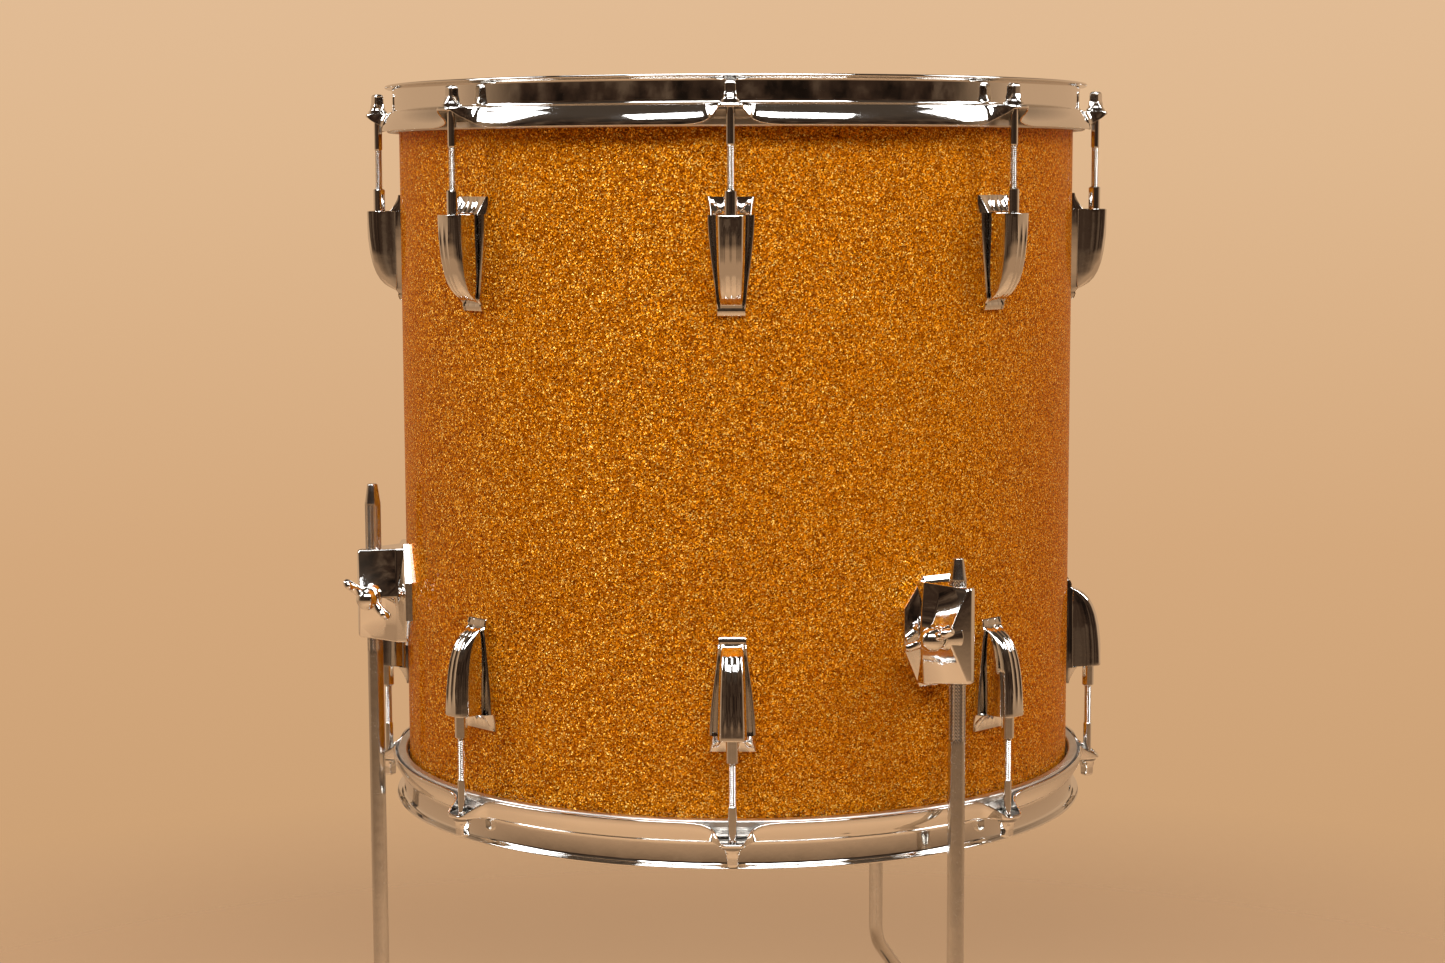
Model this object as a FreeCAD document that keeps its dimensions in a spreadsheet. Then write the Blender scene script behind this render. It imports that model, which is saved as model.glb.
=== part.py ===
import FreeCAD, Part
import math
import os
import Sketcher
from FreeCAD import Placement, Rotation, Vector

# Floor tom, 16 x 16 in: a plied wooden shell in a glitter wrap, two heads held by triple-flanged
# steel hoops, sixteen lugs with square-headed tension rods, and three bent legs in cast brackets.
# The origin is the centre of the batter head's playing surface, and +Z points up out of that head.
# Local directions of a sub-part that sits on the shell: +X out from the drum's axis, +Y round the
# shell, +Z up. Angles round the shell are counted from the front lug, which faces -Y, towards +X.

SIZES = {
    "shell_radius": 202.0,        # outside of the wrap: 16 in nominal
    "shell_height": 406.4,        # 16 in
    "shell_wall": 6.0,            # plies without the wrap
    "wrap_thickness": 0.5,
    "head_thickness": 0.4,
    "head_gap": 0.3,              # between the bearing edge and the film
    "hoop_sheet": 1.6,            # rolled steel sheet
    "hoop_rim_radius": 210.0,
    "hoop_wall_radius": 205.8,
    "hoop_skirt_radius": 212.4,
    "hoop_rim_level": 213.7,      # levels are counted from the middle of the shell
    "hoop_shoulder_level": 198.2,
    "hoop_skirt_level": 186.8,
    "ear_reach": 223.6,
    "rod_circle": 216.8,
    "rod_shank_radius": 2.6,
    "rod_thread_radius": 2.3,
    "rod_head_side": 6.4,
    "rod_head_level": 210.0,
    "rod_shank_level": 176.6,
    "rod_end_level": 112.0,
    "nut_level": 153.0,
    "nut_radius": 3.5,
    "nut_running_gap": 0.05,
    "washer_radius": 5.5,
    "lug_plate_top": 149.5,
    "lug_plate_foot": 86.1,
    "lug_mouth_level": 139.9,
    "lug_body_foot": 90.5,
    "lug_reach": 22.0,            # from the shell to the outermost face
    "lug_plate_width": 25.5,
    "lug_body_width": 15.9,
    "lug_screw_high": 132.0,
    "lug_screw_low": 98.0,
    "lug_screw_radius": 2.0,
    "leg_circle": 222.0,
    "leg_radius": 4.75,           # 3/8 in rod
    "leg_tip_radius": 3.1,
    "leg_tip_length": 11.5,
    "leg_running_gap": 0.08,
    "leg_bend_level": 363.0,      # below the middle of the shell
    "leg_bend_radius": 25.0,
    "leg_offset": 57.0,
    "floor_level": 525.0,         # below the middle of the shell
    "foot_sole": 6.0,
    "foot_height": 38.0,
    "bracket_level": 88.3,        # below the middle of the shell
    "bracket_height": 61.5,
    "bracket_plate_reach": 6.5,
    "barrel_height": 53.2,
    "wing_thickness": 5.6,
    "bracket_screw_radius": 2.4,
    "vent_radius": 4.5,
}

LUG_COUNT = 8
LUG_STEP = 360.0 / LUG_COUNT
LEGS = {"left": -78.75, "right": 33.5, "rear": 154.75}   # degrees from the front lug
LEG_TOPS = {"left": -22.0, "right": -46.0, "rear": -46.0}
LEG_BEND = 50.0                                          # degrees from the vertical
WING_TILT = 13.0                                         # wing screw's axis, outward
WING_TURN = {"left": -40.0, "right": 23.0, "rear": 25.0}
BRACKET_SCREW_LEVELS = (22.0, -22.0)                     # from the middle of the bracket
VENT_ANGLE = -157.5

doc = FreeCAD.newDocument("floor_tom")
sheet = doc.addObject("Spreadsheet::Sheet", "dims")
for row, (alias, value) in enumerate(SIZES.items(), start=1):
    sheet.set(f"A{row}", alias)
    sheet.set(f"B{row}", str(value))
    sheet.setAlias(f"B{row}", alias)
doc.recompute()


class Dim:
    """A length bound to the sheet: its present number and the expression that gives it."""

    def __init__(self, number, text):
        self.number = number
        self.text = text

    def __add__(self, other):
        other = as_dim(other)
        return Dim(self.number + other.number, f"({self.text} + {other.text})")

    def __sub__(self, other):
        other = as_dim(other)
        return Dim(self.number - other.number, f"({self.text} - {other.text})")

    def __mul__(self, factor):
        return Dim(self.number * factor, f"({self.text} * {factor})")

    def __neg__(self):
        return self * -1


def as_dim(value):
    return value if isinstance(value, Dim) else Dim(float(value), f"{float(value)}")


def size(alias):
    return Dim(SIZES[alias], f"dims.{alias}")


def bind(thing, prop, value):
    thing.setExpression(prop, as_dim(value).text)


MIDDLE = -(size("shell_height") * 0.5 + size("head_gap") + size("head_thickness"))


def new_body(label):
    body = doc.addObject("PartDesign::Body", label)
    body.AllowCompound = True
    return body


def new_sketch(body, role, offset=Placement()):
    plane = [item for item in body.Origin.OriginFeatures if item.Role == role][0]
    sketch = body.newObject("Sketcher::SketchObject", f"{body.Name}_{role}")
    sketch.AttachmentSupport = (plane, [""])
    sketch.MapMode = "FlatFace"
    sketch.AttachmentOffset = offset
    return sketch


def pin_point(sketch, curve, end, x, y):
    """Fix one point of a sketch at x, y from the sketch's origin, bound to the sheet."""
    for kind, axis, value in (("DistanceX", -2, as_dim(x)), ("DistanceY", -1, as_dim(y))):
        if abs(value.number) < 1e-9:
            sketch.addConstraint(Sketcher.Constraint("PointOnObject", curve, end, axis))
            continue
        index = sketch.addConstraint(
            Sketcher.Constraint(kind, -1, 1, curve, end, value.number))
        sketch.setExpression(f"Constraints[{index}]", value.text)


def flat(point):
    return Vector(as_dim(point[0]).number, as_dim(point[1]).number, 0)


def is_clockwise(start, way, end):
    return (way - start).cross(end - way).z < 0


def add_outline(sketch, steps):
    """Close an outline. A step is a corner (x, y), or (x, y, x_way, y_way) for an arc that
    comes to that corner from the one before by way of the second point."""
    first = sketch.GeometryCount
    ends = []
    for index, step in enumerate(steps):
        start = flat(steps[index - 1])
        end = flat(step)
        if len(step) == 4:
            way = flat(step[2:])
            backward = is_clockwise(start, way, end)
            curve = Part.Arc(end, way, start) if backward else Part.Arc(start, way, end)
        else:
            backward = False
            curve = Part.LineSegment(start, end)
        sketch.addGeometry(curve)
        ends.append((2, 1) if backward else (1, 2))
    for index, step in enumerate(steps):
        this = first + index
        after = first + (index + 1) % len(steps)
        this_end = ends[index][1]
        sketch.addConstraint(Sketcher.Constraint(
            "Coincident", this, this_end, after, ends[(index + 1) % len(steps)][0]))
        pin_point(sketch, this, this_end, step[0], step[1])
        if len(step) == 4:
            sketch.addConstraint(
                Sketcher.Constraint("Radius", this, sketch.Geometry[this].Radius))


def add_circle(sketch, x, y, radius):
    centre = flat((x, y))
    index = sketch.addGeometry(Part.Circle(centre, Vector(0, 0, 1), as_dim(radius).number))
    pin_point(sketch, index, 3, x, y)
    size_index = sketch.addConstraint(
        Sketcher.Constraint("Radius", index, as_dim(radius).number))
    bind(sketch, f"Constraints[{size_index}]", radius)


def add_feature(body, kind, sketch):
    feature = body.newObject(f"PartDesign::{kind}", f"{body.Name}_{kind}")
    feature.Profile = sketch
    sketch.Visibility = False
    return feature


def turn_profile(body, steps, axis="V_Axis", role="XZ_Plane", offset=Placement(), cut=False):
    """Revolve an outline about one of its sketch's axes, adding or cutting."""
    sketch = new_sketch(body, role, offset)
    add_outline(sketch, steps)
    feature = add_feature(body, "Groove" if cut else "Revolution", sketch)
    feature.ReferenceAxis = (sketch, [axis])
    feature.Angle = 360
    return feature


def pad(body, sketch, length, midplane=False, reverse=False):
    feature = add_feature(body, "Pad", sketch)
    bind(feature, "Length", length)
    feature.Midplane = midplane
    feature.Reversed = reverse
    return feature


def pocket(body, sketch, length, midplane=False, reverse=True):
    """Cut along the sketch's normal, or both ways from it."""
    feature = add_feature(body, "Pocket", sketch)
    bind(feature, "Length", length)
    feature.Midplane = midplane
    feature.Reversed = reverse
    return feature


def repeat_round(body, features):
    """Repeat features at every lug's angle round the drum's axis."""
    pattern = body.newObject("PartDesign::PolarPattern", f"{body.Name}_pattern")
    pattern.Originals = features
    axis = [item for item in body.Origin.OriginFeatures if item.Role == "Z_Axis"][0]
    pattern.Axis = (axis, [""])
    pattern.Angle = 360
    pattern.Occurrences = LUG_COUNT
    body.Tip = pattern
    return pattern


def round_edges(body, radius, wanted):
    """Fillet the edges whose middle point passes a test."""
    doc.recompute()
    base = body.Tip
    names = []
    for index, edge in enumerate(base.Shape.Edges, start=1):
        middle = edge.valueAt((edge.FirstParameter + edge.LastParameter) / 2)
        if wanted(middle, edge):
            names.append(f"Edge{index}")
    fillet = body.newObject("PartDesign::Fillet", f"{body.Name}_fillet")
    fillet.Base = (base, names)
    fillet.Radius = radius
    return fillet


def clone(master, label, placement):
    """A body of its own with another body's shape."""
    body = new_body(label)
    base = body.newObject("PartDesign::FeatureBase", f"{label}_base")
    base.BaseFeature = master
    body.Tip = base
    body.Placement = placement
    return body


def on_shell(angle, level=0.0):
    """Place a sub-part built along +X at an angle round the shell, at a level."""
    return Placement(Vector(0, 0, MIDDLE.number + level), Rotation(Vector(0, 0, 1), angle - 90))


UPSIDE_DOWN = Placement(Vector(0, 0, 0), Rotation(Vector(1, 0, 0), 180))
AT_MIDDLE = on_shell(90)
PARTS = []


def keep(thing, placement=None):
    if placement is not None:
        thing.Placement = placement
    PARTS.append(thing)
    return thing


# ---------------------------------------------------------------- shell and wrap

def drill_lug_holes(body):
    sketch = new_sketch(body, "YZ_Plane")
    for level in (size("lug_screw_high"), size("lug_screw_low")):
        for height in (level, -level):
            add_circle(sketch, 0, height, size("lug_screw_radius") + 0.5)
    holes = pocket(body, sketch, size("shell_radius") + 10)
    repeat_round(body, [holes])


def drill_at(body, angle, levels, radius):
    """Drill outward through the wall at an angle round the shell."""
    turned = Placement(Vector(0, 0, 0), Rotation(Vector(0, 1, 0), angle - 90))
    sketch = new_sketch(body, "YZ_Plane", turned)
    for level in levels:
        add_circle(sketch, 0, level, radius)
    pocket(body, sketch, size("shell_radius") + 10)


def drill_fittings(body):
    """Holes for the vent and for the screws of the three leg brackets."""
    drill_at(body, VENT_ANGLE, [0], size("vent_radius") + 0.1)
    for angle in LEGS.values():
        spots = [-size("bracket_level") + way for way in BRACKET_SCREW_LEVELS]
        drill_at(body, angle, spots, size("bracket_screw_radius") + 0.5)


def make_shell():
    body = new_body("shell")
    outer = size("shell_radius") - size("wrap_thickness")
    inner = outer - size("shell_wall")
    top = size("shell_height") * 0.5
    crest = outer - 1.9
    slope = 3.6
    ease = 1.6
    turn_profile(body, [
        (inner, -top + slope), (crest, -top), (crest + 0.3, -top), (outer, -top + ease),
        (outer, top - ease), (crest + 0.3, top), (crest, top), (inner, top - slope)])
    drill_lug_holes(body)
    drill_fittings(body)
    return keep(body, AT_MIDDLE)


def make_wrap():
    body = new_body("wrap")
    inner = size("shell_radius") - size("wrap_thickness")
    edge = size("shell_height") * 0.5 - 5
    outer = size("shell_radius")
    turn_profile(body, [(inner, -edge), (outer, -edge), (outer, edge), (inner, edge)])
    drill_lug_holes(body)
    drill_fittings(body)
    return keep(body, AT_MIDDLE)


# ---------------------------------------------------------------- hoops and heads

def make_hoop():
    """Triple-flanged hoop: rolled rim, upright wall, shoulder and skirt, with eight ears."""
    body = new_body("batter_hoop")
    sheet_steel = size("hoop_sheet")
    rim = size("hoop_rim_radius")
    wall = size("hoop_wall_radius")
    skirt = size("hoop_skirt_radius")
    rim_top = size("hoop_rim_level")
    shoulder = size("hoop_shoulder_level")
    hem = size("hoop_skirt_level")
    turn_profile(body, [
        (rim, rim_top - 0.4), (rim, rim_top - 1.8), (wall, rim_top - 2.6),
        (wall, shoulder), (skirt - 1.2, shoulder), (skirt, shoulder - 1.2),
        (skirt, hem), (skirt - sheet_steel, hem), (skirt - sheet_steel, shoulder - sheet_steel),
        (wall - sheet_steel, shoulder - sheet_steel), (wall - sheet_steel, rim_top - 1.6),
        (wall - 0.2, rim_top)])
    sketch = new_sketch(body, "YZ_Plane")
    under = shoulder - sheet_steel
    add_outline(sketch, [
        (-21.5, hem - 1), (-21.5, hem), (-13.0, hem + 5.0, -15.5, hem + 1.4),
        (-8.5, under, -11.5, hem + 8.6), (8.5, under), (13.0, hem + 5.0, 11.5, hem + 8.6),
        (21.5, hem, 15.5, hem + 1.4), (21.5, hem - 1)])
    scallop = pocket(body, sketch, rim + 30)
    repeat_round(body, [scallop])
    ear = new_sketch(body, "XY_Plane")
    bind(ear, ".AttachmentOffset.Base.z", under)
    reach = size("ear_reach")
    add_outline(ear, [
        (wall - 0.8, -15.0), (skirt - 1.0, -12.0), (reach - 6.6, -8.0, skirt + 1.4, -8.8),
        (reach - 6.6, 8.0, reach, 0.0), (skirt - 1.0, 12.0, skirt + 1.4, 8.8),
        (wall - 0.8, 15.0)])
    ear_pad = pad(body, ear, sheet_steel)
    repeat_round(body, [ear_pad])
    hole = new_sketch(body, "XY_Plane")
    add_circle(hole, size("rod_circle"), 0, size("rod_shank_radius") + 0.65)
    holes = pocket(body, hole, rim_top + 10)
    repeat_round(body, [holes])
    return keep(body, AT_MIDDLE)


def make_flesh_hoop():
    """Aluminium ring that grips the film, under the hoop's shoulder."""
    body = new_body("batter_flesh_hoop")
    inner = size("shell_radius") + 0.6
    outer = size("hoop_skirt_radius") - size("hoop_sheet") - 1.6
    top = size("hoop_shoulder_level") - size("hoop_sheet") - 0.2
    foot = top - 10.2
    slot_in = size("shell_radius") + 0.95
    slot_out = slot_in + size("head_thickness") + 0.1
    turn_profile(body, [
        (inner, foot + 1), (inner + 1, foot), (outer - 1, foot), (outer, foot + 1),
        (outer, top - 1), (outer - 1, top), (slot_out, top), (slot_out, top - 5),
        (slot_in, top - 5), (slot_in, top), (inner, top)])
    return keep(body, AT_MIDDLE)


def make_head():
    """Film of the head: flat across, rolled over the bearing edge, down into its ring."""
    body = new_body("batter_head_film")
    film = size("head_thickness")
    top = size("shell_height") * 0.5 + size("head_gap") + film
    collar = size("shell_radius") + 1.0
    hem = size("hoop_shoulder_level") - size("hoop_sheet") - 5.1
    turn_profile(body, [
        (0, top), (0, top - film), (collar - 3.2, top - film),
        (collar, top - film - 3.2, collar - 0.94, top - film - 0.94),
        (collar, hem), (collar + film, hem), (collar + film, top - 3.6),
        (collar - 3.2, top, collar - 0.65, top - 1.05)])
    return keep(body, AT_MIDDLE)


def make_washers():
    body = new_body("batter_washers")
    sketch = new_sketch(body, "XY_Plane")
    bind(sketch, ".AttachmentOffset.Base.z", size("hoop_shoulder_level"))
    add_circle(sketch, size("rod_circle"), 0, size("washer_radius"))
    add_circle(sketch, size("rod_circle"), 0, size("rod_shank_radius") + 0.3)
    repeat_round(body, [pad(body, sketch, 1.5)])
    return keep(body, AT_MIDDLE)


# ---------------------------------------------------------------- lugs, nuts and rods

def make_lug():
    """Cast lug: a bevelled base plate, and a tapered body that curves down to it."""
    body = new_body("lug_master")
    shell = size("shell_radius")
    reach = shell + size("lug_reach")
    mouth = size("lug_mouth_level")
    foot = size("lug_body_foot")
    inside = shell - 6
    side = new_sketch(body, "XZ_Plane")
    add_outline(side, [
        (inside, mouth), (reach - 2.0, mouth), (reach, mouth - 2.2, reach - 0.5, mouth - 0.7),
        (reach - 5.6, foot + 12.5, reach - 2.2, foot + 26.0),
        (shell + 3.0, foot, reach - 10.4, foot + 4.8), (inside, foot)])
    pad(body, side, size("lug_body_width"), midplane=True)
    taper = new_sketch(body, "YZ_Plane")
    half = size("lug_body_width") * 0.5
    for way in (-1, 1):
        add_outline(taper, [
            (half * way, mouth), ((half + 6) * way, mouth), ((half + 6) * way, foot - 1),
            ((half - 1.6) * way, foot - 1)])
    pocket(body, taper, reach + 5)
    round_edges(body, 2.4, lambda at, edge: at.x > shell.number + 4 and abs(at.y) > 5
                and at.z < mouth.number - 1)
    plate_top = size("lug_plate_top")
    plate_foot = size("lug_plate_foot")
    plate = new_sketch(body, "XZ_Plane")
    add_outline(plate, [
        (inside, plate_top), (shell + 1.2, plate_top),
        (shell + 6.3, plate_top - 6.5, shell + 4.9, plate_top - 2.2),
        (shell + 3.2, plate_foot + 1.6), (shell + 1.8, plate_foot), (inside, plate_foot)])
    pad(body, plate, size("lug_plate_width"), midplane=True)
    trim = new_sketch(body, "YZ_Plane")
    edge = size("lug_plate_width") * 0.5
    for way in (-1, 1):
        add_outline(trim, [
            ((edge + 8) * way, plate_foot + 46), ((edge + 8) * way, plate_foot - 2),
            ((edge - 5.6) * way, plate_foot - 2), ((edge - 5.2) * way, plate_foot),
            (edge * way, plate_foot + 46, (edge - 2.3) * way, plate_foot + 23)])
    pocket(body, trim, reach + 5)
    turn_profile(body, [
        (inside - 3, plate_foot - 5), (shell, plate_foot - 5), (shell, plate_top + 5),
        (inside - 3, plate_top + 5)], cut=True)
    mouth_hole = new_sketch(body, "XY_Plane")
    bind(mouth_hole, ".AttachmentOffset.Base.z", size("rod_end_level") - 4)
    add_circle(mouth_hole, size("rod_circle"), 0, size("nut_radius") + 0.6)
    pocket(body, mouth_hole, 60)
    tapped = new_sketch(body, "YZ_Plane")
    for level in (size("lug_screw_high"), size("lug_screw_low")):
        add_circle(tapped, 0, level, size("lug_screw_radius") + 0.02)
    pocket(body, tapped, shell + 7)
    return body


def make_rod():
    """Tension rod: square head on a flared collar, plain shank, thinner threaded length."""
    body = new_body("rod_master")
    shank = size("rod_shank_radius")
    thread = size("rod_thread_radius")
    seat = size("hoop_shoulder_level") + 1.5
    end = size("rod_end_level")
    turn_profile(body, [
        (0, end), (thread - 0.8, end), (thread, end + 1.2), (thread, size("rod_shank_level")),
        (shank, size("rod_shank_level") + 0.5), (shank, seat), (4.9, seat), (4.9, seat + 0.9),
        (3.2, seat + 2.4), (0, seat + 2.4)])
    head = new_sketch(body, "XY_Plane")
    bind(head, ".AttachmentOffset.Base.z", seat + 1.5)
    half = size("rod_head_side") * 0.5
    add_outline(head, [(-half, -half), (half, -half), (half, half), (-half, half)])
    pad(body, head, size("rod_head_level") - seat - 1.5)
    round_edges(body, 0.7, lambda at, edge: at.z > seat.number + 3)
    return body


def make_nuts():
    """Swivel nuts: threaded barrels that stand out of the lugs' mouths."""
    body = new_body("batter_swivel_nuts")
    bore = size("rod_thread_radius") + size("nut_running_gap")
    outer = size("nut_radius")
    low = size("rod_end_level") + 8
    turn = Placement(Vector(SIZES["rod_circle"], 0, 0), Rotation())
    nut = turn_profile(body, [
        (bore, low), (outer, low), (outer, size("nut_level") - 0.6),
        (outer - 0.6, size("nut_level")), (bore, size("nut_level"))], offset=turn)
    repeat_round(body, [nut])
    return keep(body, AT_MIDDLE)


def make_lug_screws():
    """Round-headed screws from inside the shell into the lugs, both ends of the drum."""
    body = new_body("lug_screws")
    inner = size("shell_radius") - size("wrap_thickness") - size("shell_wall")
    features = []
    for radius, start, length in (
            (size("lug_screw_radius"), inner - 1, size("shell_wall") + 6.5),
            (size("lug_screw_radius") + 2.6, inner - 2.9, as_dim(2.8))):
        sketch = new_sketch(body, "YZ_Plane")
        bind(sketch, ".AttachmentOffset.Base.z", start)
        for level in (size("lug_screw_high"), size("lug_screw_low")):
            for height in (level, -level):
                add_circle(sketch, 0, height, radius)
        features.append(pad(body, sketch, length))
    repeat_round(body, features)
    return keep(body, AT_MIDDLE)


# ---------------------------------------------------------------- leg brackets and legs

def make_bracket():
    """Cast leg bracket: eight-sided bevelled plate, upright barrel for the leg, and a boss
    for the wing screw, tilted outward."""
    body = new_body("bracket_master")
    shell = size("shell_radius")
    leg = size("leg_circle")
    half = size("bracket_height") * 0.5
    plate = new_sketch(body, "YZ_Plane")
    add_outline(plate, [
        (-10.5, half), (-23.0, 14.0), (-23.0, -9.0), (-12.5, -half), (12.5, -half),
        (20.5, -10.0), (20.5, 13.0), (11.0, half)])
    pad(body, plate, shell + size("bracket_plate_reach"))
    doc.recompute()
    slab = body.Tip
    outer_face = [f"Face{index}" for index, item in enumerate(slab.Shape.Faces, start=1)
                  if item.CenterOfMass.x > shell.number + 6]
    bevel = body.newObject("PartDesign::Chamfer", "bracket_bevel")
    bevel.Base = (slab, outer_face)
    bevel.Size = 2.8
    barrel = new_sketch(body, "XY_Plane")
    bind(barrel, ".AttachmentOffset.Base.z", size("barrel_height") * -0.5)
    add_outline(barrel, [
        (shell - 2, -17.0), (shell + 7.5, -16.0), (leg + 8.0, -9.5), (leg + 10.0, -6.0),
        (leg + 10.0, 2.4), (leg + 6.5, 8.0), (shell - 2, 12.5)])
    pad(body, barrel, size("barrel_height"))
    upright = size("barrel_height").number - 1
    round_edges(body, 1.5, lambda at, edge: at.x > leg.number - 5 and edge.Length > upright)
    tilted = Placement(Vector(SIZES["leg_circle"], 0, 0),
                       Rotation(Vector(0, 0, 1), WING_TILT - 90))
    turn_profile(body, [(0, 0), (15.5, 0), (15.5, 5.6), (14.4, 6.8), (0, 9.5)],
                 axis="H_Axis", role="XY_Plane", offset=tilted)
    turn_profile(body, [(0, 0), (20, 0), (20, 3.05), (0, 3.05)],
                 axis="H_Axis", role="XY_Plane", offset=tilted, cut=True)
    tapped = new_sketch(body, "YZ_Plane")
    for level in BRACKET_SCREW_LEVELS:
        add_circle(tapped, 0, level, size("bracket_screw_radius") + 0.02)
    pocket(body, tapped, shell + 4)
    bore = new_sketch(body, "XY_Plane")
    add_circle(bore, leg, 0, size("leg_radius") + size("leg_running_gap"))
    pocket(body, bore, 120, midplane=True)
    turn_profile(body, [(0, -half - 5), (shell, -half - 5), (shell, half + 5), (0, half + 5)],
                 cut=True)
    return body


def make_wing_screw():
    """Wing screw along +X from the leg's axis: threaded stem, collar, ball and two wings."""
    body = new_body("wing_screw_master")
    stem = 3.0
    tip = size("leg_radius") + 0.35
    ball = 6.8
    centre = 22.0
    wings = new_sketch(body, "XY_Plane")
    add_outline(wings, [
        (centre - 3.4, -5.0), (centre - 1.0, -9.5), (centre + 3.4, -16.0),
        (centre + 8.4, -14.2, centre + 7.0, -17.6), (centre + 5.6, -4.6),
        (centre + 5.6, 4.6, centre + 4.6, 0.0), (centre + 8.4, 14.2),
        (centre + 3.4, 16.0, centre + 7.0, 17.6), (centre - 1.0, 9.5), (centre - 3.4, 5.0)])
    pad(body, wings, size("wing_thickness"), midplane=True)
    round_edges(body, 1.6, lambda at, edge: abs(at.z) > 2.5)
    turn_profile(body, [
        (tip, 0), (tip, stem - 0.7), (tip + 0.7, stem), (16.0, stem), (16.0, 4.4),
        (centre - 5.0, 4.6), (centre + ball, 0, centre + 2.2, ball - 0.35)],
        axis="H_Axis", role="XY_Plane")
    return body


def make_leg(name):
    """Leg: straight rod with a tapered tip, bent outward and back, standing in its foot."""
    body = new_body(f"leg_{name}")
    radius = size("leg_radius")
    straight = size("leg_bend_level") + LEG_TOPS[name]
    tip = size("leg_tip_radius")
    turn_profile(body, [
        (0, 0), (radius, 0), (radius, straight - size("leg_tip_length")), (tip, straight - 0.5),
        (tip - 0.5, straight), (0, straight)])
    bend = SIZES["leg_bend_radius"]
    lean = math.radians(LEG_BEND)
    sideways = SIZES["leg_offset"]
    one_side = bend * (1 - math.cos(lean))
    one_down = bend * math.sin(lean)
    run = (sideways - 2 * one_side) / math.sin(lean)
    low = -(2 * one_down + run * math.cos(lean))
    end = Dim(SIZES["foot_sole"], "dims.foot_sole") - (
        size("floor_level") - size("leg_bend_level"))
    spine = new_sketch(body, "XZ_Plane")
    corner_in = Vector(one_side, -one_down, 0)
    corner_out = Vector(sideways - one_side, low + one_down, 0)
    half_in = Vector(bend * (1 - math.cos(lean / 2)), -bend * math.sin(lean / 2), 0)
    half_out = Vector(sideways, low, 0) - half_in
    spine.addGeometry(Part.Arc(Vector(0, 0, 0), half_in, corner_in))
    spine.addGeometry(Part.LineSegment(corner_in, corner_out))
    spine.addGeometry(Part.Arc(corner_out, half_out, Vector(sideways, low, 0)))
    spine.addGeometry(Part.LineSegment(Vector(sideways, low, 0), Vector(sideways, end.number, 0)))
    for index in range(4):
        spine.addConstraint(Sketcher.Constraint("Block", index))
    section = new_sketch(body, "XY_Plane")
    add_circle(section, 0, 0, radius)
    pipe = add_feature(body, "AdditivePipe", section)
    pipe.Spine = (spine, [f"Edge{number}" for number in range(1, 5)])
    spine.Visibility = False
    place = on_shell(LEGS[name], -SIZES["leg_bend_level"])
    return keep(body, place * Placement(Vector(SIZES["leg_circle"], 0, 0), Rotation()))


def make_foot():
    """Rubber foot: a ringed, flared block with a blind hole for the leg's end."""
    body = new_body("foot_master")
    tall = size("foot_height")
    hole = size("leg_radius")
    turn_profile(body, [
        (0, 0), (12.0, 0), (13.5, 1.5), (13.5, 7.0), (12.4, 8.5), (12.2, 14.0), (11.2, 15.0),
        (11.2, 16.4), (11.9, 17.4), (11.6, 22.6), (10.6, 23.6), (10.6, 25.0), (11.2, 26.0),
        (9.6, tall - 1.2), (8.4, tall), (hole, tall), (hole, size("foot_sole")),
        (0, size("foot_sole"))])
    return body


def make_bracket_screw(name, level):
    """One screw that holds a bracket: round head inside the shell, shank into the casting."""
    inner = size("shell_radius") - size("wrap_thickness") - size("shell_wall")
    pieces = []
    for piece, radius, start, length in (
            ("shank", size("bracket_screw_radius"), inner - 0.5, size("shell_wall") + 4.4),
            ("head", size("bracket_screw_radius") + 2.6, inner - 2.7, as_dim(2.6))):
        rod = doc.addObject("Part::Cylinder", f"bracket_{piece}_{name}")
        bind(rod, "Radius", radius)
        bind(rod, "Height", length)
        rod.Placement = Placement(
            Vector(start.number, 0, level), Rotation(Vector(0, 1, 0), 90))
        pieces.append(rod)
    screw = doc.addObject("Part::Fuse", f"bracket_screw_{name}")
    screw.Base, screw.Tool = pieces
    screw.Placement = on_shell(LEGS[name], -SIZES["bracket_level"])
    return screw


def make_vent():
    """Chromed grommet lining the air hole."""
    body = new_body("vent_grommet")
    bore = size("vent_radius") - 0.8
    outer = size("vent_radius")
    wall = size("shell_wall") + size("wrap_thickness")
    turn_profile(body, [
        (bore, -wall - 0.8), (outer + 1.8, -wall - 0.8), (outer + 1.8, -wall - 0.3),
        (outer, -wall - 0.3), (outer, 0.2), (outer + 3, 0.2), (outer + 2.4, 1.0),
        (outer, 1.5), (bore, 1.2)])
    face_out = Placement(Vector(SIZES["shell_radius"], 0, 0), Rotation(Vector(0, 1, 0), 90))
    return keep(body, on_shell(VENT_ANGLE) * face_out)


def bracket_place(name):
    place = on_shell(LEGS[name], -SIZES["bracket_level"])
    return place * UPSIDE_DOWN if name == "left" else place


make_shell()
make_wrap()
for ring in (make_hoop(), make_flesh_hoop(), make_head(), make_washers(), make_nuts()):
    keep(clone(ring, ring.Label.replace("batter", "resonant"), AT_MIDDLE * UPSIDE_DOWN))

lug_master = make_lug()
rod_master = make_rod()
rod_place = Placement(Vector(SIZES["rod_circle"], 0, 0), Rotation())
for number in range(LUG_COUNT):
    for side, flip in (("batter", Placement()), ("resonant", UPSIDE_DOWN)):
        seat = on_shell(LUG_STEP * number) * flip
        keep(clone(lug_master, f"{side}_lug_{number + 1}", seat))
        keep(clone(rod_master, f"{side}_rod_{number + 1}", seat * rod_place))
make_lug_screws()

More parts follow.
